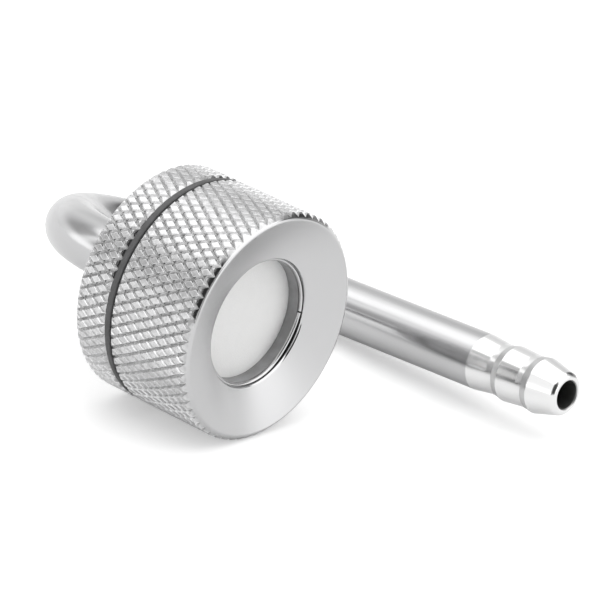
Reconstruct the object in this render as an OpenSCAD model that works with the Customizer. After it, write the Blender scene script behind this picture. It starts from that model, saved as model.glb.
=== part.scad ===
// Gas diffuser with a knurled two-piece head and a U-bent hose-barb stem.
// The head lies on its side with its axis along Y, its disc facing -Y, and the stem's free leg on +X.
// Head and stem both touch the plane Z = 0. All sizes are in millimetres.

/* [Head] */
// Diameter over the knurl's crests
head_d = 24; // [22:0.5:28]
// Teeth round each knurled ring
knurl_teeth = 64; // [52:4:72]
// Angle between each knurl groove and the head's axis
knurl_angle = 30; // [28:1:31]
// Depth of the knurl grooves
knurl_depth = 0.38; // [0.2:0.02:0.5]
// Share of each diamond's width that its flat crest keeps
knurl_flat = 0.62; // [0.5:0.02:0.75]
// Length of the chamfer that cuts the knurl's ends
knurl_chamfer = 0.35; // [0.1:0.05:0.4]
// Half-diamond rows along the cap
cap_rows = 10; // [10:2:14]
// Half-diamond rows along the base's flange
base_rows = 4; // [4:2:8]
// Thickness of the flat gasket between base and cap
gasket_t = 0.7; // [0.6:0.1:1.2]

/* [Window] */
// Diameter of the cap's mouth
mouth_d = 13.4; // [12:0.2:14]
// Height of the polished lip in front of the knurl
lip_h = 0.2; // [0.1:0.05:0.4]
// Width of the rounded edge of that lip
lip_w = 0.35; // [0.2:0.05:0.35]
// How far the face is dished from its lip to the mouth
dish_h = 1.43; // [0.8:0.01:1.6]
// Depth from the mouth's edge to the disc
disc_recess = 2.05; // [1.9:0.05:2.2]
// Thickness of the disc
disc_t = 2; // [1.5:0.1:2.1]
// Wire diameter of the split retaining ring
ring_wire = 0.4; // [0.3:0.05:0.5]

/* [Screw joint] */
// Diameter of the plain cylinder that stands for the neck's thread
thread_d = 18.84; // [18:0.02:19]
// Radial clearance of the screw joint
thread_gap = 0.08; // [0.02:0.02:0.1]
// Inside diameter of the base's threaded neck
neck_bore_d = 15.2; // [14:0.2:16]

/* [Stem] */
// Outside diameter of the tube
tube_d = 6; // [5.8:0.1:6.2]
// Inside diameter of the tube
tube_bore_d = 3; // [2:0.1:3.2]
// Distance between the axes of the two legs
leg_pitch = 29; // [28:0.5:34]
// Straight run from the base's back to the bend
near_leg = 5.9; // [4:0.1:10]
// Straight run of the free leg up to the tip
free_leg = 37; // [34:0.5:50]
// Angle by which the free leg is set out of parallel
leg_set = 4.6; // [0.6:0.2:6]
// Diameter of the tip's end face and its rounded edge
tip_d = 4.54; // [4:0.02:4.8]
// Diameter at the bottom of the barb's front groove
front_groove_d = 5.6; // [5.3:0.05:5.7]
// Diameter at the bottom of the barb's rear groove
rear_groove_d = 5.45; // [5.3:0.05:5.7]

/* [Hidden] */

round_fn = 96;
wire_fn = 32;
seat_gap = 0.02;

// Knurl lattice: the grooves cross every step_a degrees and every step_z along the axis.
head_r = head_d / 2;
root_r = head_r - knurl_depth;
step_a = 180 / knurl_teeth;
step_z = PI * head_d / knurl_teeth / 2 / tan(knurl_angle);
core_r = root_r - 0.4;
sleeve_r = core_r - 0.4;
core_inset = 0.3;

// Stations along the head's axis, counted forward from the base's back face.
flange_h = base_rows * step_z;
cap_z = flange_h + gasket_t;
knurl_end_z = cap_z + cap_rows * step_z;
lip_z = knurl_end_z + lip_h;
mouth_z = lip_z - dish_h;
ring_mid_z = mouth_z - 0.32 - ring_wire / 2;
disc_top_z = mouth_z - disc_recess;
disc_back_z = disc_top_z - disc_t;
ledge_top_z = disc_back_z - 0.8;
thread_end_z = ledge_top_z - 1;
neck_end_z = thread_end_z - 0.3;

// Radii and edges inside the cap.
mouth_r = mouth_d / 2;
mouth_edge_w = 0.15;
mouth_edge_h = 0.24;
lip_r = root_r - 0.05;
ledge_r = 5.2;
neck_r = thread_d / 2;
cap_bore_r = neck_r + thread_gap;
lead_in = 0.4;

// Split ring: half of the wire's width stands in a groove just behind the mouth's edge.
ring_r = mouth_r - 0.02;
ring_gap_a = 3;
ring_gap_mid_a = -4;
groove_play = 0.04;
groove_r = ring_r + ring_wire / 2 + groove_play;
groove_half = ring_wire / 2 + groove_play;

// Disc seals.
disc_r = mouth_r - 0.06;
seal_r = mouth_r - 0.04;
gasket_bore_r = mouth_r - 0.25;
o_ring_r = 5.5;
o_ring_round = 0.3;
disc_edge = 0.15;
body_seal_r = head_r - 0.1;
body_seal_bore_r = 9.6;

// Base: neck, floor, boss and the socket that the stem is brazed into.
relief_w = 0.8;
relief_d = 0.5;
floor_z = 1.6;
boss_r = 5;
boss_h = 1.6;
boss_edge = 0.5;
socket_z = 0.4;
braze_r = 0.9;

// Stem: the bend turns half round, then a short wide arc sets the free leg in and up.
tube_r = tube_d / 2;
bore_r = tube_bore_d / 2;
bend_r = leg_pitch / 2;
set_r = 30;
set_dir = 135;
tilt = asin((head_r - tube_r) / leg_pitch);
// Each bent stretch is a hair thinner than the next one and laps into it.
bend_thin = 0.01;
tube_lap = 0.2;

// Barb, measured back from the tip along the free leg.
tip_round = 0.35;
front_ridge = 3.15;
front_groove = 4.7;
rear_ridge = 7.15;
rear_groove = 8.75;
barb_end = 11.1;
// Each ridge drops by most of its height over its step, and then slopes to its groove.
ridge_step = 0.8;
step_rise = 0.05;
bore_edge = 0.12;

// The assembly's reach, which centres it on the origin.
tip_z = set_r * sin(leg_set) + free_leg * cos(leg_set) - near_leg + (tip_d / 2 - tip_round) * sin(leg_set);
back_z = -near_leg - bend_r - tube_r;
mid_x = (leg_pitch * cos(tilt) + tube_r - head_r) / 2;
mid_y = (tip_z + back_z) / 2;

steel = [0.80, 0.80, 0.81];
black_rubber = [0.10, 0.10, 0.10];
grey_rubber = [0.30, 0.30, 0.31];
white_ceramic = [0.93, 0.93, 0.92];
braze_silver = [0.74, 0.73, 0.70];

// Lays down a piece that is drawn along +Z.
module lay() {
    translate([-mid_x, mid_y, head_r]) rotate([90, 0, 0]) children();
}

// Turns the stem's plane down until the free leg touches the ground beside the head.
module beside() {
    rotate([0, 0, -tilt]) translate([0, 0, -near_leg]) children();
}

// Goes to the free leg's root, with +Z along the leg.
module at_free_leg() {
    translate([leg_pitch, 0, 0]) rotate([0, 0, set_dir])
        translate([set_r * (1 - cos(leg_set)), 0, set_r * sin(leg_set)])
            rotate([0, leg_set, 0]) children();
}

// Points of an arc about [cx, cy] from angle a to angle b.
function arc(cx, cy, r, a, b, n = 6) =
    [for (k = [0:n]) let (t = a + (b - a) * k / n) [cx + r * cos(t), cy + r * sin(t)]];

// Solid of revolution from [radius, height] points.
module turned(profile) {
    rotate_extrude($fn = round_fn) polygon(profile);
}

// One point of the knurl: lattice column i, lattice row k, radius r.
function lattice(i, k, r) = [r * cos(i * step_a), r * sin(i * step_a), k * step_z];

// Knurled sleeve. A flat diamond stands at each odd lattice place, with walls down to the groove
// crossings at the even places, and a chamfer cuts the half diamonds along both ends.
module knurl_sleeve(rows) {
    cols = 2 * knurl_teeth;
    t = knurl_flat;
    c = knurl_chamfer / step_z;
    crossings = [for (k = [0:rows]) for (i = [k % 2:2:cols - 1]) lattice(i, k, root_r)];
    inner = [for (k = [0, rows]) for (i = [0:2:cols - 1]) lattice(i, k, sleeve_r)];
    crests = [for (k = [1:rows - 1]) for (i = [(k + 1) % 2:2:cols - 1])
        each [lattice(i + t, k, head_r), lattice(i, k + t, head_r),
              lattice(i - t, k, head_r), lattice(i, k - t, head_r)]];
    ends = [for (e = [0, 1]) for (i = [1:2:cols - 1])
        let (k = e * rows, d = 1 - 2 * e)
        each [lattice(i + t - c, k + d * c, head_r), lattice(i, k + d * t, head_r),
              lattice(i - t + c, k + d * c, head_r)]];
    inner_at = len(crossings);
    crest_at = inner_at + len(inner);
    end_at = crest_at + len(crests);
    function place(i) = floor(((i + cols) % cols) / 2);
    function cross_at(i, k) = k * knurl_teeth + place(i);
    function bore_at(i, e) = inner_at + e * knurl_teeth + place(i);
    diamonds = [for (k = [1:rows - 1]) for (i = [(k + 1) % 2:2:cols - 1])
        let (a = crest_at + ((k - 1) * knurl_teeth + place(i)) * 4,
             right = cross_at(i + 1, k), up = cross_at(i, k + 1),
             left = cross_at(i - 1, k), down = cross_at(i, k - 1))
        each [[a, a + 3, a + 2], [a, a + 2, a + 1],
              [a, a + 1, up], [a, up, right], [a + 1, a + 2, left], [a + 1, left, up],
              [a + 2, a + 3, down], [a + 2, down, left], [a + 3, a, right], [a + 3, right, down]]];
    halves = [for (e = [0, 1]) for (i = [1:2:cols - 1])
        let (a = end_at + (e * knurl_teeth + place(i)) * 3, k = e * rows,
             apex = cross_at(i, k + 1 - 2 * e), right = cross_at(i + 1, k), left = cross_at(i - 1, k),
             faces = [[a, a + 2, a + 1], [a, a + 1, apex], [a, apex, right],
                      [a + 1, a + 2, left], [a + 1, left, apex], [a, right, left], [a, left, a + 2],
                      [bore_at(i + 1, e), bore_at(i - 1, e), left], [bore_at(i + 1, e), left, right]])
        each (e == 0 ? faces : [for (f = faces) [f[0], f[2], f[1]]])];
    bore = [for (i = [0:2:cols - 1])
        each [[bore_at(i, 0), bore_at(i + 2, 0), bore_at(i + 2, 1)],
              [bore_at(i, 0), bore_at(i + 2, 1), bore_at(i, 1)]]];
    polyhedron(points = concat(crossings, inner, crests, ends),
               faces = concat(diamonds, halves, bore), convexity = 10);
}

// Knurled flange with the threaded neck in front, the gas chamber inside and the boss behind.
module base() {
    chamber_r = neck_bore_d / 2;
    color(steel) union() {
        knurl_sleeve(base_rows);
        turned([
            [bore_r, socket_z], [tube_r + seat_gap, socket_z], [tube_r + seat_gap, -boss_h],
            [boss_r - boss_edge, -boss_h], [boss_r, -boss_h + boss_edge], [boss_r, 0],
            [core_r, 0], [core_r, flange_h],
            [neck_r - relief_d, flange_h], [neck_r - relief_d, flange_h + relief_w],
            [neck_r, flange_h + relief_w + relief_d], [neck_r, neck_end_z - lead_in],
            [neck_r - lead_in, neck_end_z], [chamber_r, neck_end_z],
            [chamber_r, floor_z], [bore_r, floor_z]
        ]);
    }
}

// Bent tube: the near leg stands in the base's socket, and the free leg ends in the hose barb.
module stem() {
    color(steel) difference() {
        union() {
            beside() tube_run(tube_r);
            beside() at_free_leg() turned(concat(
                [[0, 0], [tube_r, 0]],
                [for (p = barb_profile()) [p[0], free_leg - p[1]]],
                [[0, free_leg]]
            ));
        }
        beside() tube_run(bore_r);
        beside() at_free_leg() {
            cylinder(h = free_leg + 1, r = bore_r, $fn = round_fn);
            translate([0, 0, free_leg - bore_edge])
                cylinder(h = 2 * bore_edge, r1 = bore_r, r2 = bore_r + 2 * bore_edge, $fn = round_fn);
        }
    }
}

// Outline of the barb from its back to its tip, as [radius, distance behind the tip].
function barb_profile() = concat(
    [[tube_r, barb_end],
     [rear_groove_d / 2, rear_groove], [rear_groove_d / 2 + step_rise, rear_ridge + ridge_step],
     [tube_r, rear_ridge],
     [front_groove_d / 2, front_groove], [front_groove_d / 2 + step_rise, front_ridge + ridge_step],
     [tube_r, front_ridge]],
    [for (p = arc(tip_d / 2 - tip_round, 0, tip_round, 15, 90)) [p[0], tip_round - p[1]]]
);

// The tube's path up to the free leg's root, for a round section of radius r.
module tube_run(r) {
    cylinder(h = near_leg + socket_z - seat_gap, r = r, $fn = round_fn);
    translate([bend_r, 0, 0]) rotate([-90, 0, 0])
        tube_arc(bend_r, r - 2 * bend_thin, -lap_angle(bend_r), 180 + lap_angle(bend_r));
    translate([leg_pitch, 0, 0]) rotate([0, 0, set_dir]) translate([set_r, 0, 0])
        rotate([90, 0, 0]) tube_arc(set_r, r - bend_thin, 180 - leg_set - lap_angle(set_r), 180);
}

// Bent stretch of round section, from angle a to angle b about the origin.
module tube_arc(path_r, r, a, b) {
    rotate([0, 0, a]) rotate_extrude(angle = b - a, $fn = round_fn)
        translate([path_r, 0]) circle(r = r, $fn = round_fn);
}

// Angle that the lap between two stretches of tube takes on a bend.
function lap_angle(path_r) = tube_lap / path_r * 180 / PI;

// Fillet of filler metal round the tube where it leaves the boss.
module braze_ring() {
    inner_r = tube_r + seat_gap;
    color(braze_silver) turned(concat(
        [[inner_r, -boss_h]],
        [[inner_r, -boss_h - braze_r]],
        arc(inner_r + braze_r, -boss_h - braze_r, braze_r - 0.08, 170, 100),
        [[inner_r + braze_r, -boss_h]]
    ));
}

// Flat black gasket in the joint between base and cap.
module body_gasket() {
    color(black_rubber) turned([
        [body_seal_bore_r, flange_h], [body_seal_r, flange_h],
        [body_seal_r, cap_z - seat_gap], [body_seal_bore_r, cap_z - seat_gap]
    ]);
}

// Knurled cap: dished face, mouth with the ring's groove, ledge under the disc, threaded skirt.
module cap() {
    color(steel) union() {
        translate([0, 0, cap_z]) knurl_sleeve(cap_rows);
        turned(concat(
            [[cap_bore_r + lead_in, cap_z], [core_r, cap_z],
             [core_r, knurl_end_z - core_inset], [lip_r, knurl_end_z - core_inset]],
            arc(lip_r - lip_w, lip_z - lip_w, lip_w, 0, 90),
            [[mouth_r + mouth_edge_w, mouth_z], [mouth_r, mouth_z - mouth_edge_h],
             [mouth_r, ring_mid_z + groove_half], [groove_r, ring_mid_z + groove_half],
             [groove_r, ring_mid_z - groove_half], [mouth_r, ring_mid_z - groove_half],
             [mouth_r, ledge_top_z], [ledge_r, ledge_top_z], [ledge_r, thread_end_z],
             [cap_bore_r, thread_end_z], [cap_bore_r, cap_z + lead_in]]
        ));
    }
}

// Split wire ring that holds the disc and its seals in the mouth.
module retaining_ring() {
    color(steel) translate([0, 0, ring_mid_z]) rotate([0, 0, ring_gap_mid_a + ring_gap_a / 2])
        rotate_extrude(angle = 360 - ring_gap_a, $fn = round_fn)
            translate([ring_r, 0]) circle(d = ring_wire, $fn = wire_fn);
}

// Grey rubber sleeve that stands on the disc, under the retaining ring.
module disc_gasket() {
    top_z = ring_mid_z - ring_wire / 2 - seat_gap;
    color(grey_rubber) turned([
        [gasket_bore_r, disc_top_z], [seal_r, disc_top_z], [seal_r, top_z], [gasket_bore_r, top_z]
    ]);
}

// Porous white disc that the gas leaves through.
module diffuser_disc() {
    color(white_ceramic) turned([
        [0, disc_back_z], [disc_r - disc_edge, disc_back_z], [disc_r, disc_back_z + disc_edge],
        [disc_r, disc_top_z - disc_edge], [disc_r - disc_edge, disc_top_z], [0, disc_top_z]
    ]);
}

// Rubber ring, squeezed to a rounded section, that seals the disc's back against the ledge.
module disc_o_ring() {
    low_z = ledge_top_z + seat_gap;
    color(black_rubber) turned(concat(
        arc(o_ring_r + o_ring_round, low_z + o_ring_round, o_ring_round, 180, 270),
        arc(seal_r - o_ring_round, low_z + o_ring_round, o_ring_round, 270, 360),
        arc(seal_r - o_ring_round, disc_back_z - o_ring_round, o_ring_round, 0, 90),
        arc(o_ring_r + o_ring_round, disc_back_z - o_ring_round, o_ring_round, 90, 180)
    ));
}

lay() base();
lay() stem();
lay() braze_ring();
lay() body_gasket();
lay() cap();
lay() retaining_ring();
lay() disc_gasket();
lay() diffuser_disc();
lay() disc_o_ring();
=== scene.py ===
import bpy
import bmesh
import math
from mathutils import Euler, Matrix, Vector


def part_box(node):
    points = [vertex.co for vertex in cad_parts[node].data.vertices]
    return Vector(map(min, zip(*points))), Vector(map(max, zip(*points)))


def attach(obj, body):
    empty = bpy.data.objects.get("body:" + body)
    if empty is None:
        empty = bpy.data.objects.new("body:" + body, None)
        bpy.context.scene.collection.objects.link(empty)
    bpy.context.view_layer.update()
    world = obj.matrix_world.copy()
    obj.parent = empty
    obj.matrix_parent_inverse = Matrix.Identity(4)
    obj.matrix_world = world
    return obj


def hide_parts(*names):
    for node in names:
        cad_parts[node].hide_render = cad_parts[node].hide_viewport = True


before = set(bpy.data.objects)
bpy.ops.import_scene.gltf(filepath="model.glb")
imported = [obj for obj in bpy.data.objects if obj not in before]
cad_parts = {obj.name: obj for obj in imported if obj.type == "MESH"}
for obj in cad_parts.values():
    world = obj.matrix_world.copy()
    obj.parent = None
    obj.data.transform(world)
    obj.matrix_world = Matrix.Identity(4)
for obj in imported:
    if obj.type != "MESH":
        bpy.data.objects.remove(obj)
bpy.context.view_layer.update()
print("frame loaded")

mm = 0.001

# The head lies with its axis along Y. Its pieces are drawn upright, in millimetres and
# rising from the back face of the base, and laid in place when they are finished.
capLow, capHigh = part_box("cap")
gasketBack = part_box("body_gasket")[1].y

head = {
    "radius": (capHigh.x - capLow.x) / 2 / mm,
    "axisX": (capHigh.x + capLow.x) / 2,
    "axisZ": (capHigh.z + capLow.z) / 2,
    "teeth": 64,
    "grooveAngle": 30,      # degrees to the axis
    "grooveDepth": 0.38,
    "baseRows": 4,
    "capRows": 10,
    "joint": 0.7,           # between the two knurled rings, where the gasket lies
    "segments": 128,
}
toothWidth = 2 * math.pi * head["radius"] / head["teeth"]
rowHeight = toothWidth / 2 / math.tan(math.radians(head["grooveAngle"]))
rootRadius = head["radius"] - head["grooveDepth"]
flangeTop = head["baseRows"] * rowHeight
capFoot = flangeTop + head["joint"]
backFaceY = gasketBack + flangeTop * mm

weld = 0.002            # points nearer to each other than this become one
seamWeld = 0.02         # the same, where a knurled sleeve meets its body
level = 0.001           # points nearer to a plane than this lie in it
ringReach = 0.004       # points nearer to a turned ring than this lie on it
facing = 0.999          # share of a normal that points straight up or down
pole = 0.0005           # radius of a turned ring that welds to one point
smoothAngle = 35        # degrees between faces that are shaded as one surface


def rise(y):  # height above the back face of a place along Y
    return (backFaceY - y) / mm


def clearSelection():
    if bpy.context.object and bpy.context.object.mode != "OBJECT":
        bpy.ops.object.mode_set(mode="OBJECT")
    bpy.ops.object.select_all(action="DESELECT")


def select(*pieces):  # the last one is active
    clearSelection()
    for piece in pieces:
        piece.select_set(True)
        bpy.context.view_layer.objects.active = piece


def edit(piece):
    select(piece)
    bpy.ops.object.mode_set(mode="EDIT")
    bpy.ops.mesh.select_mode(type="VERT")
    bpy.ops.mesh.select_all(action="SELECT")


def pick(kind, test):  # selects the vertices, edges or faces that pass the test
    mesh = bmesh.from_edit_mesh(bpy.context.object.data)
    bpy.ops.mesh.select_mode(type=kind)
    bpy.ops.mesh.select_all(action="DESELECT")
    items = {"VERT": mesh.verts, "EDGE": mesh.edges, "FACE": mesh.faces}[kind]
    for item in items:
        item.select_set(bool(test(item)))
    bmesh.update_edit_mesh(bpy.context.object.data)


def duplicate(piece):
    select(piece)
    bpy.ops.object.duplicate()
    return bpy.context.object


def join(*pieces):  # into the last one
    select(*pieces)
    bpy.ops.object.join()
    return bpy.context.object


def applyModifier(piece, kind, **settings):
    select(piece)
    bpy.ops.object.modifier_add(type=kind)
    modifier = piece.modifiers[-1]
    for name, value in settings.items():
        setattr(modifier, name, value)
    bpy.ops.object.modifier_apply(modifier=modifier.name)


def closeUp(piece):  # welds the seams and turns all faces outwards
    edit(piece)
    bpy.ops.mesh.remove_doubles(threshold=weld)
    bpy.ops.mesh.normals_make_consistent(inside=False)
    bpy.ops.object.mode_set(mode="OBJECT")


def ringOf(radius, height):  # test for the edges of one turned ring
    def onRing(edge):
        return all(abs(v.co.xy.length - radius) < ringReach
                   and abs(v.co.z - height) < ringReach for v in edge.verts)
    return onRing


def roundOff(piece, corners, width, steps=3):  # bevels rings given as (radius, height)
    edit(piece)
    tests = [ringOf(*corner) for corner in corners]
    pick("EDGE", lambda edge: any(test(edge) for test in tests))
    bpy.ops.mesh.bevel(offset=width, segments=steps, affect="EDGES")
    bpy.ops.object.mode_set(mode="OBJECT")


def turned(profile):
    # A ring is drawn out and scaled from station to station, as (radius, height).
    radius, height = profile[0]
    clearSelection()
    bpy.ops.mesh.primitive_circle_add(vertices=head["segments"], radius=radius,
                                      location=(0, 0, height))
    bpy.ops.object.transform_apply(location=True)
    piece = bpy.context.object
    edit(piece)
    for nextRadius, nextHeight in profile[1:]:
        bpy.ops.mesh.extrude_region_move(
            TRANSFORM_OT_translate={"value": (0, 0, nextHeight - height)})
        scale = nextRadius / radius
        bpy.ops.transform.resize(value=(scale, scale, 1), center_override=(0, 0, nextHeight))
        radius, height = nextRadius, nextHeight
    bpy.ops.object.mode_set(mode="OBJECT")
    return piece


def lay(piece):  # from its drawing to its place in the head
    select(piece)
    piece.scale = (mm, mm, mm)
    piece.rotation_euler = (math.pi / 2, 0, 0)
    piece.location = (head["axisX"], backFaceY, head["axisZ"])
    bpy.ops.object.transform_apply(location=True, rotation=True, scale=True)


def finishPiece(piece, name, body, material):
    lay(piece)
    piece.name = name
    piece.data.name = name
    bpy.ops.object.shade_smooth_by_angle(angle=math.radians(smoothAngle))
    applyModifier(piece, "WEIGHTED_NORMAL", keep_sharp=True)
    piece.data.materials.append(material)
    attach(piece, body)
    return piece


knurl = {
    "flat": 0.62,           # share of each diamond that its crest keeps
    "edge": 0.035,          # rounding of the crests
    "edgeSteps": 3,
    "chamfer": 0.35,        # cut along both ends
}


def knurlDiamond():
    # One raised diamond: width round the head along X, height along Y, crest at Z = 0.
    clearSelection()
    bpy.ops.mesh.primitive_circle_add(vertices=4, radius=1, fill_type="NGON")
    diamond = bpy.context.object
    edit(diamond)
    bpy.ops.transform.resize(value=(toothWidth / 2, rowHeight, 1), center_override=(0, 0, 0))
    bpy.ops.transform.translate(value=(0, 0, -head["grooveDepth"]))
    bpy.ops.mesh.extrude_region_move(
        TRANSFORM_OT_translate={"value": (0, 0, head["grooveDepth"])})
    bpy.ops.transform.resize(value=(knurl["flat"], knurl["flat"], 1), center_override=(0, 0, 0))
    bpy.ops.mesh.normals_make_consistent(inside=False)
    return diamond


def finishDiamond(diamond):  # rounds the crest's edges and opens its foot
    pick("EDGE", lambda edge: all(abs(v.co.z) < level for v in edge.verts))
    bpy.ops.mesh.bevel(offset=knurl["edge"], segments=knurl["edgeSteps"], affect="EDGES")
    pick("FACE", lambda face: face.normal.z > facing)
    bpy.ops.mesh.inset(thickness=knurl["edge"])
    bpy.ops.mesh.poke()
    pick("FACE", lambda face: face.normal.z < -facing)
    bpy.ops.mesh.delete(type="FACE")
    bpy.ops.object.mode_set(mode="OBJECT")


def repeat(piece, count, step):
    applyModifier(piece, "ARRAY", count=count, use_relative_offset=False,
                  use_constant_offset=True, constant_offset_displace=step)


def knurledSleeve(rows, foot):
    # A flat sheet of diamonds, rolled into a ring that stands on the height foot.
    diamond = knurlDiamond()
    bpy.ops.object.mode_set(mode="OBJECT")
    lowEnd = duplicate(diamond)
    edit(lowEnd)
    bpy.ops.mesh.bisect(plane_co=(0, knurl["chamfer"], 0), use_fill=True, clear_outer=True,
                        plane_no=(0, -head["grooveDepth"], knurl["chamfer"]))
    finishDiamond(lowEnd)
    highEnd = duplicate(lowEnd)
    edit(highEnd)
    bpy.ops.transform.rotate(value=math.pi, orient_axis="Z", center_override=(0, 0, 0))
    bpy.ops.transform.translate(value=(toothWidth / 2, rows * rowHeight, 0))
    edit(lowEnd)
    bpy.ops.transform.translate(value=(toothWidth / 2, 0, 0))
    edit(diamond)
    finishDiamond(diamond)
    between = duplicate(diamond)
    edit(between)
    bpy.ops.transform.translate(value=(toothWidth / 2, 2 * rowHeight, 0))
    edit(diamond)
    bpy.ops.transform.translate(value=(0, rowHeight, 0))
    for piece, lines in ((diamond, rows // 2), (between, rows // 2 - 1), (lowEnd, 1), (highEnd, 1)):
        repeat(piece, head["teeth"], (toothWidth, 0, 0))
        repeat(piece, lines, (0, 2 * rowHeight, 0))
    sleeve = join(diamond, between, highEnd, lowEnd)

    # The staggered rows make the sheet half a tooth longer than the ring.
    edit(sleeve)
    bpy.ops.transform.rotate(value=-math.pi / 2, orient_axis="X", center_override=(0, 0, 0))
    applyModifier(sleeve, "SIMPLE_DEFORM", deform_method="BEND", deform_axis="Z",
                  angle=2 * math.pi * (1 + 0.5 / head["teeth"]))
    edit(sleeve)
    bpy.ops.transform.translate(value=(0, -head["radius"], foot))
    bpy.ops.mesh.remove_doubles(threshold=weld)
    bpy.ops.mesh.select_all(action="DESELECT")
    bpy.ops.object.mode_set(mode="OBJECT")
    return sleeve


def boundary(edge):
    return len(edge.link_faces) == 1


def sleeved(body, sleeve):  # welds a turned body to the two rims of its knurled sleeve
    edit(sleeve)
    pick("EDGE", boundary)
    bpy.ops.mesh.subdivide(number_cuts=1)
    piece = join(sleeve, body)
    edit(piece)
    pick("EDGE", boundary)
    bpy.ops.mesh.remove_doubles(threshold=seamWeld)
    bpy.ops.object.mode_set(mode="OBJECT")
    closeUp(piece)
    return piece


thread = {
    "pitch": 1,
    "crest": 9.71,          # outside radius on the neck
    "root": 9.17,
    "crestFlat": 0.13,
    "rootFlat": 0.25,
    "play": 0.06,           # added to both radii inside the cap
    "trim": 0.03,           # turned off the crests
    "turnsBefore": 2,       # extra turns that are cut away
    "turnsExtra": 5,
    "steps": 96,
}


def threadedRod(low, high, play):
    # One turn of the thread's outline, screwed up past both ends and cut to length. A
    # circle that is merged to one point is drawn out along it, as (radius, climb).
    flank = (thread["pitch"] - thread["crestFlat"] - thread["rootFlat"]) / 2
    root, crest = thread["root"] + play, thread["crest"] + play
    start = math.floor(low) - thread["turnsBefore"] * thread["pitch"]
    outline = [(root, thread["rootFlat"]), (crest, flank), (crest, thread["crestFlat"]),
               (root, flank)]
    clearSelection()
    bpy.ops.mesh.primitive_circle_add(vertices=3, radius=1)
    rod = bpy.context.object
    edit(rod)
    bpy.ops.mesh.merge(type="CENTER")
    bpy.ops.transform.translate(value=(root, 0, start))
    last = root
    for radius, climb in outline:
        bpy.ops.mesh.extrude_region_move(
            TRANSFORM_OT_translate={"value": (radius - last, 0, climb)})
        last = radius
    bpy.ops.object.mode_set(mode="OBJECT")
    turns = math.ceil((high - low) / thread["pitch"]) + thread["turnsExtra"]
    applyModifier(rod, "SCREW", screw_offset=thread["pitch"], iterations=turns,
                  steps=thread["steps"], render_steps=thread["steps"], use_normal_calculate=True)
    edit(rod)
    bpy.ops.mesh.remove_doubles(threshold=weld)
    bpy.ops.mesh.select_all(action="SELECT")
    bpy.ops.mesh.bisect(plane_co=(0, 0, low), plane_no=(0, 0, 1), use_fill=True, clear_inner=True)
    bpy.ops.mesh.select_all(action="SELECT")
    bpy.ops.mesh.bisect(plane_co=(0, 0, high), plane_no=(0, 0, 1), use_fill=True, clear_outer=True)
    bpy.ops.object.mode_set(mode="OBJECT")
    closeUp(rod)
    return rod


def cut(piece, cutter):
    applyModifier(piece, "BOOLEAN", object=cutter, operation="DIFFERENCE", solver="EXACT")
    bpy.data.objects.remove(cutter)


print("helpers ready")

discLow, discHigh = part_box("diffuser_disc")
ringLow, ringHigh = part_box("retaining_ring")
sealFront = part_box("disc_gasket")[0].y
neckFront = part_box("base")[0].y

cap = {
    "lip": 11.57,           # radius where the lip's rounding starts
    "lipFoot": 0.05,        # from the knurl's end to the start of the lip's rounding
    "lipRound": 0.3,        # how far that rounding goes inwards
    "dish": 1.43,           # depth of the face from its lip to the mouth
    "mouth": 6.7,
    "mouthEdge": (0.15, 0.24),  # chamfer of the mouth, outwards and along the axis
    "mouthRound": 0.04,     # rounding of that chamfer's rim
    "grooveOut": 0.22,      # depth of the ring's groove
    "grooveHalf": 0.24,     # half its width
    "ledge": 5.2,           # inside radius of the ledge that carries the disc
    "underDisc": 0.8,       # room for the rubber ring behind the disc
    "ledgeThick": 1,
    "leadIn": 0.6,          # chamfer where the thread starts
    "threadEnd": 0.4,       # from the thread's end to the ledge
}
knurlTop = capFoot + head["capRows"] * rowHeight
lipTop = rise(capLow.y)
mouthTop = lipTop - cap["dish"]
ringMiddle = rise((ringLow.y + ringHigh.y) / 2)
discBack, discTop = rise(discHigh.y), rise(discLow.y)


def makeCap():
    mouth, groove = cap["mouth"], cap["mouth"] + cap["grooveOut"]
    ledgeTop = discBack - cap["underDisc"]
    ledgeFoot = ledgeTop - cap["ledgeThick"]
    bore = thread["root"] + thread["play"] + thread["trim"]
    roundIn, roundUp = cap["lipRound"], lipTop - knurlTop - cap["lipFoot"]
    lip = []
    for degrees in range(0, 91, 10):
        angle = math.radians(degrees)
        lip.append((cap["lip"] - roundIn * (1 - math.cos(angle)),
                    lipTop - roundUp * (1 - math.sin(angle))))
    body = turned([(rootRadius, knurlTop)] + lip + [
        (mouth + cap["mouthEdge"][0], mouthTop), (mouth, mouthTop - cap["mouthEdge"][1]),
        (mouth, ringMiddle + cap["grooveHalf"]), (groove, ringMiddle + cap["grooveHalf"]),
        (groove, ringMiddle - cap["grooveHalf"]), (mouth, ringMiddle - cap["grooveHalf"]),
        (mouth, ledgeTop), (cap["ledge"], ledgeTop), (cap["ledge"], ledgeFoot),
        (bore, ledgeFoot), (bore, capFoot + cap["leadIn"]),
        (bore + cap["leadIn"], capFoot), (rootRadius, capFoot),
    ])
    roundOff(body, [(mouth + cap["mouthEdge"][0], mouthTop)], cap["mouthRound"])
    piece = sleeved(body, knurledSleeve(head["capRows"], capFoot))
    cut(piece, threadedRod(capFoot - thread["pitch"], ledgeFoot - cap["threadEnd"], thread["play"]))
    closeUp(piece)
    return piece


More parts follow.
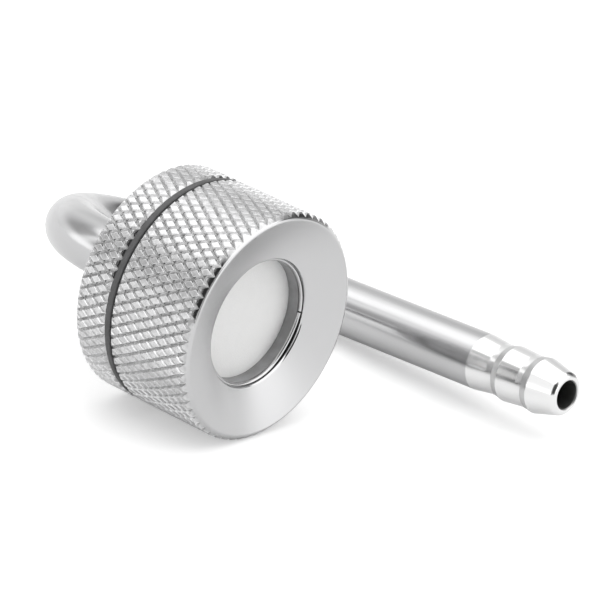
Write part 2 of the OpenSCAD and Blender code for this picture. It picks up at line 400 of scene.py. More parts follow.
base = {
    "bore": 1.5,            # radius of the gas passage
    "socket": 3.02,         # radius that takes the tube
    "socketFloor": 0.4,     # heights are above the back face
    "boss": 5,
    "bossHeight": 1.6,      # how far it stands out behind that face
    "bossEdge": 0.5,        # chamfer of the boss
    "bossRound": 0.12,      # rounding of that chamfer's rims
    "bossFillet": 0.3,      # rounding where the boss meets the back face
    "filletSteps": 4,
    "floor": 1.6,           # height of the chamber's floor
    "chamber": 7.6,         # radius of the gas chamber
    "relief": 8.92,         # radius and width of the groove where the thread runs out
    "reliefWide": 0.8,
    "leadIn": 0.5,
    "cutterOut": 1,         # how far the thread's cutter reaches outside the neck
    "cutterFoot": 0.1,      # where it starts above the middle of the relief
    "cutterTop": 0.9,       # where it ends above the neck
}


def makeBase():
    top = rise(neckFront)
    crest = thread["crest"] - thread["trim"]
    body = turned([
        (rootRadius, flangeTop), (base["relief"], flangeTop),
        (base["relief"], flangeTop + base["reliefWide"]),
        (crest, flangeTop + base["reliefWide"] + crest - base["relief"]),
        (crest, top - base["leadIn"]), (crest - base["leadIn"], top), (base["chamber"], top),
        (base["chamber"], base["floor"]), (base["bore"], base["floor"]),
        (base["bore"], base["socketFloor"]), (base["socket"], base["socketFloor"]),
        (base["socket"], -base["bossHeight"]),
        (base["boss"] - base["bossEdge"], -base["bossHeight"]),
        (base["boss"], base["bossEdge"] - base["bossHeight"]),
        (base["boss"], 0), (rootRadius, 0),
    ])
    roundOff(body, [(base["boss"], 0)], base["bossFillet"], base["filletSteps"])
    roundOff(body, [(base["boss"], base["bossEdge"] - base["bossHeight"]),
                    (base["boss"] - base["bossEdge"], -base["bossHeight"])], base["bossRound"])
    piece = sleeved(body, knurledSleeve(head["baseRows"], 0))

    # The thread is cut by a tube that wraps the neck, smooth outside and grooved inside.
    reliefMiddle = flangeTop + base["reliefWide"] / 2
    rod = threadedRod(reliefMiddle, top + thread["pitch"], 0)
    foot, high = reliefMiddle + base["cutterFoot"], top + base["cutterTop"]
    outside = crest + base["cutterOut"]
    cutter = turned([(pole, foot), (outside, foot), (outside, high), (pole, high)])
    closeUp(cutter)
    cut(cutter, rod)
    cut(piece, cutter)
    closeUp(piece)
    return piece


stem = {
    "radius": 3,
    "bore": 1.5,
    "sides": 64,
    "start": 0.38,          # height of its end in the base's socket
    "straight": 5.9,        # from the back face to the bend
    "pitch": 29,            # between the two legs
    "bendSteps": 72,
    "setRadius": 30,        # the short arc that sets the free leg in
    "setAngle": 4.6,
    "setWay": 135,          # degrees from +X in the drawing
    "setSteps": 6,
    "leg": 37,              # from that arc to the tip
    "tip": 2.27,            # radius of the barb's end
    "tipRound": 0.32,       # chamfer of the tip
    "tipStep": 0.02,        # how much wider than the tip that chamfer starts
    "tipBevel": 0.14,       # rounding of that chamfer's rims
    "tipSteps": 4,
    "boreEdge": 0.12,       # chamfer of the bore at the tip
    # The barb's outline, as (distance behind the tip, radius).
    "barb": [(11.1, 3), (8.75, 2.725), (7.95, 2.775), (7.15, 3), (4.7, 2.8), (3.95, 2.85), (3.15, 3)],
    "barbEdge": 0.06,       # rounding of its ridges and corners
    "barbSteps": 3,
}
touch = 0.01            # points nearer to a ring of the barb or tip than this lie on it


def drawOut(way, length, scale, start):  # the selected ring goes on and grows or shrinks
    bpy.ops.mesh.extrude_region_move(TRANSFORM_OT_translate={"value": way * length})
    end = start + way * length
    bpy.ops.transform.resize(value=(scale, scale, scale), center_override=end)
    return end


# The plan of the free leg, drawn with both legs in one upright plane.
up = Vector((0, 0, 1))
setTurn = math.radians(stem["setWay"])
setWay = Vector((math.cos(setTurn), math.sin(setTurn), 0))
setAngle = math.radians(stem["setAngle"])
setMiddle = Vector((stem["pitch"], 0, -stem["straight"])) + stem["setRadius"] * setWay
legWay = math.sin(setAngle) * setWay + math.cos(setAngle) * up
legStart = setMiddle - stem["setRadius"] * (math.cos(setAngle) * setWay - math.sin(setAngle) * up)
legTip = legStart + stem["leg"] * legWay
# The plan is then turned about the head's axis until the free leg lies on the floor.
legTilt = math.asin((head["radius"] - stem["radius"]) / stem["pitch"])


def laid(point):  # where a point of that drawing comes to lie
    spot = Matrix.Rotation(-legTilt, 3, "Z") @ point
    return Vector((head["axisX"], backFaceY, head["axisZ"])) + mm * Vector((spot.x, -spot.z, spot.y))


def onRidge(edge):  # rings of the barb's outline
    for behind, wide in stem["barb"]:
        middle = legTip - behind * legWay
        if all(abs((v.co - middle).dot(legWay)) < touch
               and abs((v.co - middle).length - wide) < touch for v in edge.verts):
            return True
    return False


def onTipRim(edge):  # the two rims of the tip's chamfer, and not those of the bore
    behind = [(legTip - v.co).dot(legWay) for v in edge.verts]
    narrowest = stem["tip"] - stem["tipRound"] - stem["tipStep"]
    return (abs(behind[0] - behind[1]) < touch
            and all(min(abs(b), abs(b - stem["tipRound"])) < touch for b in behind)
            and all((v.co - legTip).length > narrowest for v in edge.verts))


def makeStem():
    setAxis = setWay.cross(up)
    bendMiddle = Vector((stem["pitch"] / 2, 0, -stem["straight"]))

    clearSelection()
    bpy.ops.mesh.primitive_circle_add(vertices=stem["sides"], radius=stem["radius"],
                                      location=(0, 0, stem["start"]))
    bpy.ops.object.transform_apply(location=True)
    tube = bpy.context.object
    edit(tube)
    bpy.ops.mesh.extrude_region_move(
        TRANSFORM_OT_translate={"value": (0, 0, -stem["straight"] - stem["start"])})
    bpy.ops.mesh.spin(steps=stem["bendSteps"], angle=math.pi, center=bendMiddle, axis=(0, 1, 0))
    bpy.ops.mesh.spin(steps=stem["setSteps"], angle=setAngle, center=setMiddle, axis=setAxis)

    at, current = legStart, stem["radius"]
    outline = stem["barb"] + [
        (stem["tipRound"], stem["tip"] + stem["tipStep"]), (0, stem["tip"] - stem["tipRound"]),
        (0, stem["bore"] + stem["boreEdge"]), (stem["boreEdge"], stem["bore"]),
    ]
    for behind, wide in outline:
        length = (legTip - at).dot(legWay) - behind
        at = drawOut(legWay, length, wide / current, at)
        current = wide

    # The same ring goes back through the bore.
    drawOut(-legWay, (at - legStart).dot(legWay), 1, at)
    bpy.ops.mesh.spin(steps=stem["setSteps"], angle=-setAngle, center=setMiddle, axis=setAxis)
    bpy.ops.mesh.spin(steps=stem["bendSteps"], angle=-math.pi, center=bendMiddle, axis=(0, 1, 0))
    bpy.ops.mesh.extrude_region_move(
        TRANSFORM_OT_translate={"value": (0, 0, stem["straight"] + stem["start"])})
    bpy.ops.mesh.select_all(action="DESELECT")
    pick("EDGE", boundary)
    bpy.ops.mesh.bridge_edge_loops()
    bpy.ops.object.mode_set(mode="OBJECT")
    closeUp(tube)

    edit(tube)
    pick("EDGE", onRidge)
    bpy.ops.mesh.bevel(offset=stem["barbEdge"], segments=stem["barbSteps"], affect="EDGES")
    pick("EDGE", onTipRim)
    bpy.ops.mesh.bevel(offset=stem["tipBevel"], segments=stem["tipSteps"], affect="EDGES")
    bpy.ops.mesh.select_all(action="SELECT")
    bpy.ops.transform.rotate(value=legTilt, orient_axis="Z", center_override=(0, 0, 0))
    bpy.ops.object.mode_set(mode="OBJECT")
    return tube


seals = {
    "gasketInside": 9.75,
    "gasketOutside": 11.9,
    "gasketRound": 0.12,
    "gasketPlay": 0.02,     # left between the gasket and the cap
    "discSealInside": 6.45,
    "discSealOutside": 6.66,
    "discSealRound": 0.06,
}


def flatRing(inside, outside, low, high, edge):  # square section with rounded edges
    ring = turned([(inside, low), (outside, low), (outside, high), (inside, high), (inside, low)])
    closeUp(ring)
    roundOff(ring, [(r, z) for r in (inside, outside) for z in (low, high)], edge)
    closeUp(ring)
    return ring


disc = {
    "radius": 6.64,
    "edge": 0.15,
    "edgeSteps": 4,
}


def makeDisc():
    piece = turned([(pole, discBack), (disc["radius"], discBack), (disc["radius"], discTop),
                    (pole, discTop)])
    closeUp(piece)
    roundOff(piece, [(disc["radius"], discBack), (disc["radius"], discTop)],
             disc["edge"], disc["edgeSteps"])
    return piece


clip = {
    "wire": 0.2,            # its radius
    "sides": 24,
    "gap": 3,               # degrees between its ends
    "gapAt": -4,            # degrees from +X
    # Radius, turn and steps of each stretch. The lower arm stands off its groove.
    "stretches": [(6.68, 287.5, 114), (4.93, 27.1, 14), (9.26, 35.6, 18)],
}


def makeClip():
    start = clip["stretches"][0][0]
    clearSelection()
    bpy.ops.mesh.primitive_circle_add(vertices=clip["sides"], radius=clip["wire"],
                                      fill_type="NGON", location=(start, 0, ringMiddle),
                                      rotation=(math.pi / 2, 0, 0))
    bpy.ops.object.transform_apply(location=True, rotation=True)
    piece = bpy.context.object
    edit(piece)
    spot, outwards = Vector((start, 0, 0)), Vector((1, 0, 0))
    for radius, turn, steps in clip["stretches"]:
        middle = spot - radius * outwards
        bpy.ops.mesh.spin(steps=steps, angle=math.radians(-turn), center=middle, axis=(0, 0, 1))
        outwards.rotate(Matrix.Rotation(math.radians(turn), 3, "Z"))
        spot = middle + radius * outwards
    bpy.ops.mesh.select_all(action="SELECT")
    bpy.ops.transform.rotate(value=math.radians(-clip["gapAt"] - clip["gap"] / 2), orient_axis="Z",
                             center_override=(0, 0, 0))
    bpy.ops.object.mode_set(mode="OBJECT")
    closeUp(piece)
    return piece


brazing = {
    "reach": 0.9,           # along the tube and along the boss
    "fill": 0.08,           # how much fuller its hollow is than a quarter round
    "angles": (170, 152, 135, 118, 100),
}


def makeBrazing():
    foot, reach = -base["bossHeight"], brazing["reach"]
    inside, outside = base["socket"], base["socket"] + reach
    hollow = []
    for degrees in brazing["angles"]:
        angle = math.radians(degrees)
        radius = reach - brazing["fill"]
        hollow.append((outside + radius * math.cos(angle), foot - reach + radius * math.sin(angle)))
    piece = turned([(inside, foot), (inside, foot - reach)] + hollow
                   + [(outside, foot), (inside, foot)])
    closeUp(piece)
    return piece


def addNode(tree, kind, **settings):
    node = tree.nodes.new(kind)
    for name, value in settings.items():
        setattr(node, name, value)
    return node


def feed(tree, socket, value):  # a number, a colour or another node's output
    if isinstance(value, bpy.types.NodeSocket):
        tree.links.new(value, socket)
    else:
        socket.default_value = value


def calc(tree, operation, *values):
    node = addNode(tree, "ShaderNodeMath", operation=operation)
    for socket, value in zip(node.inputs, values):
        feed(tree, socket, value)
    return node.outputs["Value"]


def spread(tree, value, low, high, lowTo=0.0, highTo=1.0):  # smooth step between two limits
    node = addNode(tree, "ShaderNodeMapRange", interpolation_type="SMOOTHSTEP")
    for name, setting in (("Value", value), ("From Min", low), ("From Max", high),
                          ("To Min", lowTo), ("To Max", highTo)):
        feed(tree, node.inputs[name], setting)
    return node.outputs["Result"]


def near(tree, value, edge, limits):  # smooth step between two distances from an edge
    return spread(tree, value, edge + limits[0], edge + limits[1])


def both(tree, first, *others):  # a mask that is full only where all of them are
    for other in others:
        first = calc(tree, "MULTIPLY", first, other)
    return first


def either(tree, first, second):  # a mask that is full where one of the two is
    return calc(tree, "MAXIMUM", first, second)


def blendTone(tree, share, first, second):  # inputs 6 and 7 and output 2 are its colours
    node = addNode(tree, "ShaderNodeMix", data_type="RGBA")
    feed(tree, node.inputs["Factor"], share)
    feed(tree, node.inputs[6], first)
    feed(tree, node.inputs[7], second)
    return node.outputs[2]


def blendValue(tree, share, first, second):
    node = addNode(tree, "ShaderNodeMix", data_type="FLOAT")
    feed(tree, node.inputs["Factor"], share)
    feed(tree, node.inputs["A"], first)
    feed(tree, node.inputs["B"], second)
    return node.outputs["Result"]


def placeFrom(tree, middle, scale):  # Object coordinates about a middle, scaled
    coordinates = addNode(tree, "ShaderNodeTexCoord")
    shift = addNode(tree, "ShaderNodeVectorMath", operation="SUBTRACT")
    shift.inputs[1].default_value = middle
    stretch = addNode(tree, "ShaderNodeVectorMath", operation="MULTIPLY")
    stretch.inputs[1].default_value = scale
    tree.links.new(coordinates.outputs["Object"], shift.inputs[0])
    tree.links.new(shift.outputs["Vector"], stretch.inputs[0])
    return stretch.outputs["Vector"]


noiseRange = (0.3, 0.7)  # most values of a noise texture lie between these


def grain(tree, vector, scale, detail, roughness=0.5):
    node = addNode(tree, "ShaderNodeTexNoise")
    tree.links.new(vector, node.inputs["Vector"])
    node.inputs["Scale"].default_value = scale
    node.inputs["Detail"].default_value = detail
    node.inputs["Roughness"].default_value = roughness
    return node.outputs["Fac"]


def relief(tree, height, distance, strength=1.0, under=None):
    node = addNode(tree, "ShaderNodeBump")
    node.inputs["Strength"].default_value = strength
    node.inputs["Distance"].default_value = distance
    tree.links.new(height, node.inputs["Height"])
    if under:
        tree.links.new(under, node.inputs["Normal"])
    return node.outputs["Normal"]


def newFinish(name, **sockets):
    material = bpy.data.materials.new(name)
    material.use_nodes = True
    tree = material.node_tree
    shader = tree.nodes["Principled BSDF"]
    for socket, value in sockets.items():
        shader.inputs[socket.replace("_", " ")].default_value = value
    return material, tree, shader


perMetre = 1 / mm


def headPlace(tree):  # a point's place in the head, in millimetres
    middle = (head["axisX"], backFaceY, head["axisZ"])
    return placeFrom(tree, middle, (perMetre, -perMetre, perMetre))


def headRadius(tree):
    length = addNode(tree, "ShaderNodeVectorMath", operation="LENGTH")
    flat = placeFrom(tree, (head["axisX"], backFaceY, head["axisZ"]), (perMetre, 0, perMetre))
    tree.links.new(flat, length.inputs[0])
    return length.outputs["Value"]


def headHeight(tree, place):
    split = addNode(tree, "ShaderNodeSeparateXYZ")
    tree.links.new(place, split.inputs["Vector"])
    return split.outputs["Y"]


headLook = {
    "crest": (0.69, 0.69, 0.695, 1),
    "groove": (0.74, 0.74, 0.74, 1),        # a little lighter than the crests
    "face": (0.6, 0.6, 0.605, 1),
    "paintedBoreShade": (0.07, 0.07, 0.07, 1),    # painted shade on the bore wall and in the ring's groove
    "crestRough": 0.25,
    "grooveRough": 0.34,
    "faceRough": 0.22,
    "lipRough": 0.08,
    "grainSize": 0.5,       # mm, of the rolled metal's unevenness
    "grainDepth": 0.004,    # mm
    "blotchRange": (0.35, 0.65),
    "blotchTones": (0.86, 1.06),            # on the knurl
    "fineScale": 9,         # a finer grain, per mm
    "fineShare": 0.3,       # its share of the depth
    "fineRange": (0.2, 0.8),
    "fineTones": (0.98, 1.02),              # on the turned faces
    "fineRough": (0.85, 1.15),
}

# Where each finish, and the painted shade in the bore, starts and where it is full, in mm from the
# edge that it follows.
headLimits = {
    "rootToCrest": (0.02, -0.03),
    "insideRoot": (0, -0.03),
    "outsideRoot": (-0.02, 0),
    "faceRim": (-0.1, -0.28),
    "faceFoot": (-0.1, 0),
    "backFace": (0.03, 0.01),
    "lipInside": (-0.32, -0.25),
    "lipFoot": (-0.02, 0.02),
    "mouthRim": (0.03, -0.01),
    "mouthTop": (-0.01, -0.03),
    "aboveDisc": (0, 0.1),
    "chamferTop": (0.3, 0.14),
    "chamferSlope": (0.5, 0.62),            # share of its normal that points along the axis
    "boreTop": (0.04, 0),
    "grooveBottom": (0.1, 0.05),
}


def headMasks(tree, place):
    limits = headLimits
    radius, height = headRadius(tree), headHeight(tree, place)
    way = addNode(tree, "ShaderNodeSeparateXYZ")
    tree.links.new(addNode(tree, "ShaderNodeTexCoord").outputs["Normal"], way.inputs["Vector"])
    lengthwise = calc(tree, "ABSOLUTE", way.outputs["Y"])

    depth = spread(tree, radius, rootRadius + limits["rootToCrest"][0],
                   head["radius"] + limits["rootToCrest"][1])
    insideRoot = near(tree, radius, rootRadius, limits["insideRoot"])
    aboveDisc = near(tree, height, discTop, limits["aboveDisc"])
    onFront = both(tree, near(tree, radius, cap["lip"], limits["faceRim"]),
                   near(tree, height, mouthTop, limits["faceFoot"]))
    onBack = both(tree, insideRoot, near(tree, height, 0, limits["backFace"]))
    onFace = either(tree, onFront, onBack)
    onRim = both(tree, insideRoot, near(tree, radius, cap["lip"], limits["lipInside"]),
                 near(tree, height, knurlTop, limits["lipFoot"]))
    mouth = cap["mouth"] + cap["mouthEdge"][0]
    onMouth = both(tree, near(tree, radius, mouth, limits["mouthRim"]),
                   near(tree, height, mouthTop, limits["mouthTop"]), aboveDisc)
    onLip = either(tree, onRim, onMouth)
    onChamfer = both(tree, spread(tree, lengthwise, *limits["chamferSlope"]),
                     near(tree, radius, rootRadius, limits["outsideRoot"]),
                     near(tree, radius, rootRadius, limits["chamferTop"]))
    # The bore wall and the ring's groove, from the mouth's chamfer down to the disc, are given
    # painted shade.
    bore, groove = mouthTop - cap["mouthEdge"][1], cap["mouth"] + cap["grooveOut"]
    boreShadeMask = both(tree, near(tree, height, bore, limits["boreTop"]), aboveDisc,
                    near(tree, radius, groove, limits["grooveBottom"]))
    return depth, onFace, onLip, onChamfer, boreShadeMask


def headSteel():
    look = headLook
    material, tree, shader = newFinish("knurledSteel", Metallic=1)
    place = headPlace(tree)
    depth, onFace, onLip, onChamfer, boreShadeMask = headMasks(tree, place)
    knurled = calc(tree, "SUBTRACT", 1, either(tree, onFace, onLip))

    blotch = grain(tree, place, 1 / look["grainSize"], detail=3)
    fine = grain(tree, place, look["fineScale"], detail=3, roughness=0.6)
    tone = blendTone(tree, depth, look["groove"], look["crest"])
    tone = blendTone(tree, either(tree, onFace, either(tree, onLip, onChamfer)), tone, look["face"])
    # painted shade in the bore and the ring's groove
    tone = blendTone(tree, boreShadeMask, tone, look["paintedBoreShade"])
    uneven = blendValue(tree, knurled,
                        spread(tree, fine, *look["fineRange"], *look["fineTones"]),
                        spread(tree, blotch, *look["blotchRange"], *look["blotchTones"]))
    shade = addNode(tree, "ShaderNodeVectorMath", operation="SCALE")
    tree.links.new(tone, shade.inputs[0])
    tree.links.new(uneven, shade.inputs["Scale"])
    tree.links.new(shade.outputs["Vector"], shader.inputs["Base Color"])

    rough = blendValue(tree, depth, look["grooveRough"], look["crestRough"])
    rough = blendValue(tree, onFace, rough, look["faceRough"])
    rough = blendValue(tree, onLip, rough, look["lipRough"])
    rough = blendValue(tree, onChamfer, rough, look["lipRough"])
    rough = both(tree, rough, spread(tree, fine, *noiseRange, *look["fineRough"]))
    tree.links.new(rough, shader.inputs["Roughness"])
    bumps = calc(tree, "ADD", blotch, calc(tree, "MULTIPLY", fine, look["fineShare"]))
    bumps = relief(tree, both(tree, bumps, knurled), look["grainDepth"] * mm)
    tree.links.new(bumps, shader.inputs["Normal"])
    return material


tubeLook = {
    "tube": (0.58, 0.58, 0.585, 1),
    "barb": (0.86, 0.86, 0.86, 1),
    "paintedStepShade": (0.6, 0.6, 0.6, 1),         # painted shade on the step behind each ridge
    "bore": (0.3, 0.3, 0.3, 1),
    "tubeRough": 0.17,
    "barbRough": 0.17,
    "stepRough": 0.32,
    "boreRough": 0.45,
    "barbFrom": 11.2,       # mm behind the tip
    "lathePitch": 0.2,      # mm between the turning marks
    "latheDepth": 0.0006,   # mm
    "drawnScale": (900, 60, 900),           # per metre, fine grain drawn out along the head's axis
    "drawnRough": (0.8, 1.25),
    "waveScale": 0.25,      # per mm, slow unevenness of the tube
    "waveDepth": 0.02,
    "waveStrength": 0.3,
}

# Where each finish starts and where it is full, in mm from the edge that it follows.
tubeLimits = {
    "boreWall": (0.16, 0.02),
    "boreEnd": (-1, -2),
    "barbStart": (0.1, -0.1),
    "ridge": (-0.02, 0.06),
    "stepFoot": (0.1, -0.02),
}


def tubeMasks(tree, place, way):
    limits = tubeLimits
    along = addNode(tree, "ShaderNodeVectorMath", operation="DOT_PRODUCT")
    around = addNode(tree, "ShaderNodeVectorMath", operation="CROSS_PRODUCT")
    away = addNode(tree, "ShaderNodeVectorMath", operation="LENGTH")
    for node in (along, around):
        tree.links.new(place, node.inputs[0])
        node.inputs[1].default_value = -way
    tree.links.new(around.outputs["Vector"], away.inputs[0])
    behind = along.outputs["Value"]

    inBore = both(tree, near(tree, away.outputs["Value"], stem["bore"], limits["boreWall"]),
                  near(tree, behind, stem["leg"], limits["boreEnd"]))
    onBarb = both(tree, near(tree, behind, tubeLook["barbFrom"], limits["barbStart"]),
                  calc(tree, "SUBTRACT", 1, inBore))

    # The steps behind the barb's two ridges, each from its ridge to its foot.
    corners = [distance for distance, wide in stem["barb"]]
    onStep = 0
    for ridge, foot in ((corners[6], corners[5]), (corners[3], corners[2])):
        step = both(tree, near(tree, behind, ridge, limits["ridge"]),
                    near(tree, behind, foot, limits["stepFoot"]))
        onStep = either(tree, onStep, step)
    return behind, inBore, onBarb, both(tree, onStep, onBarb)


def tubeSteel():
    look = tubeLook
    material, tree, shader = newFinish("tubeSteel", Metallic=1)
    tip, way = laid(legTip), (laid(legTip + legWay) - laid(legTip)).normalized()
    place = placeFrom(tree, tip, (perMetre, perMetre, perMetre))
    behind, inBore, onBarb, onStep = tubeMasks(tree, place, way)

    tone = blendTone(tree, onBarb, look["tube"], look["barb"])
    # painted shade on the steps behind the barb's ridges; their roughness is the rougher finish
    tone = blendTone(tree, onStep, tone, look["paintedStepShade"])
    tree.links.new(blendTone(tree, inBore, tone, look["bore"]), shader.inputs["Base Color"])
    drawn = grain(tree, placeFrom(tree, tip, look["drawnScale"]), 1, detail=3)
    rough = both(tree, spread(tree, drawn, *noiseRange, *look["drawnRough"]), look["tubeRough"])
    rough = blendValue(tree, onBarb, rough, look["barbRough"])
    rough = blendValue(tree, onStep, rough, look["stepRough"])
    rough = blendValue(tree, inBore, rough, look["boreRough"])
    tree.links.new(rough, shader.inputs["Roughness"])
    rings = calc(tree, "SINE", calc(tree, "MULTIPLY", behind, 2 * math.pi / look["lathePitch"]))
    lathe = relief(tree, both(tree, rings, onBarb), look["latheDepth"] * mm)
    wave = grain(tree, place, look["waveScale"], detail=2)
    bumps = relief(tree, wave, look["waveDepth"] * mm, look["waveStrength"], lathe)
    tree.links.new(bumps, shader.inputs["Normal"])
    return material


springLook = {
    "dark": (0.56, 0.56, 0.565, 1),
    "light": (0.66, 0.66, 0.665, 1),
    "rough": (0.1, 0.2),
    "grainScale": 12,       # per mm
}


def springSteel():
    look = springLook
    material, tree, shader = newFinish("springSteel", Metallic=1)
    lines = grain(tree, headPlace(tree), look["grainScale"], detail=2)
    tone = blendTone(tree, spread(tree, lines, *noiseRange), look["dark"], look["light"])
    tree.links.new(tone, shader.inputs["Base Color"])
    tree.links.new(spread(tree, lines, *noiseRange, *look["rough"]), shader.inputs["Roughness"])
    return material


brazeLook = {
    "dark": (0.52, 0.5, 0.46, 1),
    "light": (0.64, 0.62, 0.58, 1),
    "rough": (0.22, 0.4),
    "flowScale": 1.6,       # per mm
    "flowRange": (0.35, 0.65),
    "flowDepth": 0.05,      # mm
    "flowStrength": 0.6,
}


def brazeSilver():
    look = brazeLook
    material, tree, shader = newFinish("brazeSilver", Metallic=1)
    flow = grain(tree, headPlace(tree), look["flowScale"], detail=3)
    tone = blendTone(tree, spread(tree, flow, *look["flowRange"]), look["dark"], look["light"])
    tree.links.new(tone, shader.inputs["Base Color"])
    tree.links.new(spread(tree, flow, *noiseRange, *look["rough"]), shader.inputs["Roughness"])
    bumps = relief(tree, flow, look["flowDepth"] * mm, look["flowStrength"])
    tree.links.new(bumps, shader.inputs["Normal"])
    return material


ceramicLook = {
    "tone": (0.875, 0.875, 0.87, 1),
    # the hollow tone is painted shade in the pores, and also the tone of the random cloudy variation
    "hollow": (0.81, 0.81, 0.805, 1),
    "grainSize": 0.12,      # mm
    "grainDepth": 0.02,
    "grainStrength": 0.5,
    "pitRange": (0.15, 0.7),                # distance from a grain's middle, in grains
    "pitShare": 0.35,       # how far the pits take on the hollow tone, as painted shade in the pores
    "cloudShare": 0.25,     # how far the clouds do
    "cloudScale": 0.8,      # per mm
}


def porousCeramic():
    look = ceramicLook
    material, tree, shader = newFinish("porousCeramic", Roughness=0.95, Specular_IOR_Level=0.2)
    place = headPlace(tree)
    cells = addNode(tree, "ShaderNodeTexVoronoi")
    tree.links.new(place, cells.inputs["Vector"])
    cells.inputs["Scale"].default_value = 1 / look["grainSize"]
    cloud = grain(tree, place, look["cloudScale"], detail=2)
    cloud = spread(tree, cloud, *noiseRange, 0, look["cloudShare"])
    pits = spread(tree, cells.outputs["Distance"], *look["pitRange"])
    # painted shade in the pits
    tone = blendTone(tree, both(tree, pits, look["pitShare"]), look["tone"], look["hollow"])
    tone = blendTone(tree, cloud, tone, look["hollow"])
    tree.links.new(tone, shader.inputs["Base Color"])
    rounded = calc(tree, "SUBTRACT", 1, pits)
    bumps = relief(tree, rounded, look["grainDepth"] * mm, look["grainStrength"])
    tree.links.new(bumps, shader.inputs["Normal"])
    return material


rubbers = {
    "gasketRubber": {"dark": 0.085, "light": 0.11, "rough": 0.55},
    "sleeveRubber": {"dark": 0.27, "light": 0.32, "rough": 0.5},
    "innerRubber": {"dark": 0.02, "light": 0.03, "rough": 0.5},
    "blueTint": 1.02,
    "roughSpread": 0.06,
    "fineScale": 7,         # per mm
    "fineDepth": 0.01,      # mm
    "fineStrength": 0.6,
    "cloudScale": 0.9,      # per mm
}


def rubberFinish(name):
    dark, light, middle = (rubbers[name][value] for value in ("dark", "light", "rough"))
    material, tree, shader = newFinish(name, Specular_IOR_Level=0.35)
    place = headPlace(tree)
    fine = grain(tree, place, rubbers["fineScale"], detail=3, roughness=0.6)
    cloud = spread(tree, grain(tree, place, rubbers["cloudScale"], detail=2), *noiseRange)
    tone = blendTone(tree, cloud, (dark, dark, dark, 1),
                     (light, light, light * rubbers["blueTint"], 1))
    tree.links.new(tone, shader.inputs["Base Color"])
    rough = spread(tree, fine, *noiseRange, middle - rubbers["roughSpread"],
                   middle + rubbers["roughSpread"])
    tree.links.new(rough, shader.inputs["Roughness"])
    bumps = relief(tree, fine, rubbers["fineDepth"] * mm, rubbers["fineStrength"])
    tree.links.new(bumps, shader.inputs["Normal"])
    return material


print("pieces ready")

knurledSteel, polishedTube, wire = headSteel(), tubeSteel(), springSteel()
silver, ceramic = brazeSilver(), porousCeramic()
gasketRubber = rubberFinish("gasketRubber")
sleeveRubber = rubberFinish("sleeveRubber")
innerRubber = rubberFinish("innerRubber")

capPiece = finishPiece(makeCap(), "knurledCap", "cap", knurledSteel)
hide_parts("cap")
basePiece = finishPiece(makeBase(), "knurledBase", "base", knurledSteel)
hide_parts("base")
stemPiece = finishPiece(makeStem(), "hoseBarbStem", "base", polishedTube)
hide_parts("stem")
clipPiece = finishPiece(makeClip(), "retainingClip", "cap", wire)
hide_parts("retaining_ring")
brazePiece = finishPiece(makeBrazing(), "brazeFillet", "base", silver)
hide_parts("braze_ring")
discPiece = finishPiece(makeDisc(), "ceramicDisc", "disc_pack", ceramic)
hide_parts("diffuser_disc")
gasket = flatRing(seals["gasketInside"], seals["gasketOutside"], flangeTop,
                  capFoot - seals["gasketPlay"], seals["gasketRound"])
gasketPiece = finishPiece(gasket, "jointGasket", "base", gasketRubber)
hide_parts("body_gasket")
seal = flatRing(seals["discSealInside"], seals["discSealOutside"], discTop, rise(sealFront),
                seals["discSealRound"])
sealPiece = finishPiece(seal, "discSeal", "disc_pack", sleeveRubber)
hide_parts("disc_gasket")
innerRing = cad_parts["disc_o_ring"]  # hidden under the disc, so its solid is enough
innerRing.data.materials.clear()
innerRing.data.materials.append(innerRubber)
print("pieces in place")

view = {
    "lens": 243.68,         # mm
    "sensor": 36,           # mm
    "nearest": 0.01,
    "farthest": 10,
    "target": (0.00284, -0.00353, 0.00993),  # what it looks at
    "distance": 0.41312,    # metres from there
    "heading": 50.812,      # the way it looks, in degrees from +Y towards +X
    "elevation": 22.277,
    "roll": 8.153,
}


def makeCamera():
    aim = Euler((math.radians(90 - view["elevation"]), 0, math.radians(-view["heading"])))
    rotation = aim.to_matrix() @ Matrix.Rotation(math.radians(view["roll"]), 3, "Z")
    clearSelection()
    bpy.ops.object.camera_add()
    camera = bpy.context.object
    camera.location = Vector(view["target"]) + rotation @ Vector((0, 0, view["distance"]))
    camera.rotation_euler = rotation.to_euler()
    camera.data.lens = view["lens"]
    camera.data.sensor_width = view["sensor"]
    camera.data.clip_start, camera.data.clip_end = view["nearest"], view["farthest"]
    bpy.context.scene.camera = camera


studio = {
    # Brightness of the light tent by azimuth, in degrees from -Y towards +X. It is open on the
    # camera's side, where a dark room shows, and has a dark slot on its +X side. The top band
    # starts at the edge, and the middle goes over into it within edgeSoft degrees.
    "low": [(-180, 1.0), (-166, 1.1), (-157, 1.75), (-138, 1.7), (-130, 1.05), (-114, 1.0),
            (-106, 1.5), (-82, 1.6), (-62, 0.04), (-24, 0.04), (-14, 1.6), (42, 1.6), (56, 0.5),
            (72, 0.4), (100, 0.4), (114, 0.9), (132, 0.95), (150, 1.15), (168, 1.1), (180, 1.0)],
    "middle": [(-180, 0.5), (-166, 0.5), (-158, 0.6), (-151, 1.4), (-145, 1.2), (-140, 0.55),
               (-136, 0.45), (-126, 0.5), (-112, 1.0), (-82, 1.2), (-62, 0.04), (-17, 0.04),
               (-7, 1.5), (45, 1.6), (60, 0.9), (71, 0.2), (78, 0.08), (102, 0.08), (114, 0.75),
               (135, 0.8), (155, 1.0), (168, 0.8), (180, 0.5)],
    "edge": [(-180, 39), (-152, 39), (-142, 43), (-120, 44), (-104, 50), (-16, 50), (-6, 44),
             (30, 44), (120, 40), (165, 38), (180, 39)],
    "edgeSoft": [(-180, 6), (-150, 5), (60, 5), (120, 16), (165, 14), (180, 6)],
    "top": 1.8,
    "lowTo": (8, 20),       # degrees of elevation over which the low band goes over into the middle
    "backdrop": 1.0,        # what the camera sees of it
    "floorSize": 6,         # metres
    "floorTone": 0.77,
    "floorGlow": 0.1,       # what a reflection or glass adds to it
    "floorShown": 0.4,      # what a straight look adds to it
}


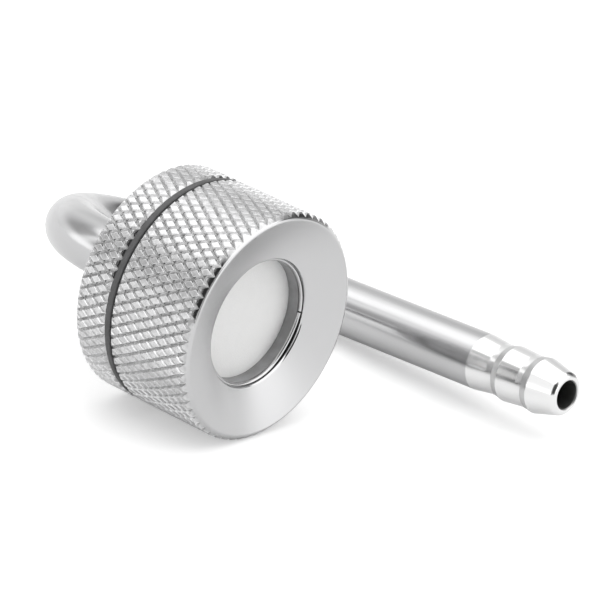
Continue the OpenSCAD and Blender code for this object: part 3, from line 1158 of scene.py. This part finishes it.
def tentCurve(tree, azimuth, points, high=2):  # high is more than any value of its points
    node = addNode(tree, "ShaderNodeFloatCurve")
    curve = node.mapping.curves[0].points
    for angle, tone in points[1:-1]:
        curve.new((angle + 180) / 360, tone / high)
    curve[0].location = (0, points[0][1] / high)
    curve[len(curve) - 1].location = (1, points[-1][1] / high)
    for point in curve:
        point.handle_type = "VECTOR"
    node.mapping.update()
    tree.links.new(azimuth, node.inputs["Value"])
    return calc(tree, "MULTIPLY", node.outputs["Value"], high)


def makeStudio():  # the light tent
    world = bpy.data.worlds.new("studio")
    bpy.context.scene.world = world
    world.use_nodes = True
    tree = world.node_tree
    background = tree.nodes["Background"]
    ray = addNode(tree, "ShaderNodeTexCoord")
    split = addNode(tree, "ShaderNodeSeparateXYZ")
    tree.links.new(ray.outputs["Generated"], split.inputs["Vector"])
    x, y, z = (split.outputs[name] for name in "XYZ")
    turn = calc(tree, "ARCTAN2", x, calc(tree, "MULTIPLY", y, -1))

    # The curves run from 0 to 1 once round the horizon.
    azimuth = calc(tree, "MULTIPLY_ADD", turn, 0.5 / math.pi, 0.5)
    elevation = calc(tree, "MULTIPLY", calc(tree, "ARCSINE", z), 180 / math.pi)
    light = blendValue(tree, spread(tree, elevation, *studio["lowTo"]),
                       tentCurve(tree, azimuth, studio["low"]),
                       tentCurve(tree, azimuth, studio["middle"]))
    above = calc(tree, "SUBTRACT", elevation, tentCurve(tree, azimuth, studio["edge"], 90))
    soft = tentCurve(tree, azimuth, studio["edgeSoft"], 90)
    light = blendValue(tree, spread(tree, above, 0, soft), light, studio["top"])
    path = addNode(tree, "ShaderNodeLightPath")
    light = blendValue(tree, path.outputs["Is Camera Ray"], light, studio["backdrop"])
    tree.links.new(light, background.inputs["Strength"])
    background.inputs["Color"].default_value = (1, 1, 1, 1)
    bpy.context.scene.view_settings.view_transform = "Standard"


def makeFloor():
    clearSelection()
    bpy.ops.mesh.primitive_plane_add(size=studio["floorSize"])
    floor = bpy.context.object
    floor.name = "floor"
    material, tree, shader = newFinish("paleFloor", Roughness=1, Specular_IOR_Level=0)
    tone = studio["floorTone"]
    shader.inputs["Base Color"].default_value = (tone, tone, tone, 1)
    path = addNode(tree, "ShaderNodeLightPath")
    mirrored = either(tree, path.outputs["Is Glossy Ray"], path.outputs["Is Transmission Ray"])
    glow = calc(tree, "ADD", calc(tree, "MULTIPLY", mirrored, studio["floorGlow"]),
                calc(tree, "MULTIPLY", path.outputs["Is Camera Ray"], studio["floorShown"]))
    shader.inputs["Emission Color"].default_value = (1, 1, 1, 1)
    tree.links.new(glow, shader.inputs["Emission Strength"])
    floor.data.materials.append(material)


makeCamera()
makeStudio()
makeFloor()
print("stage set")
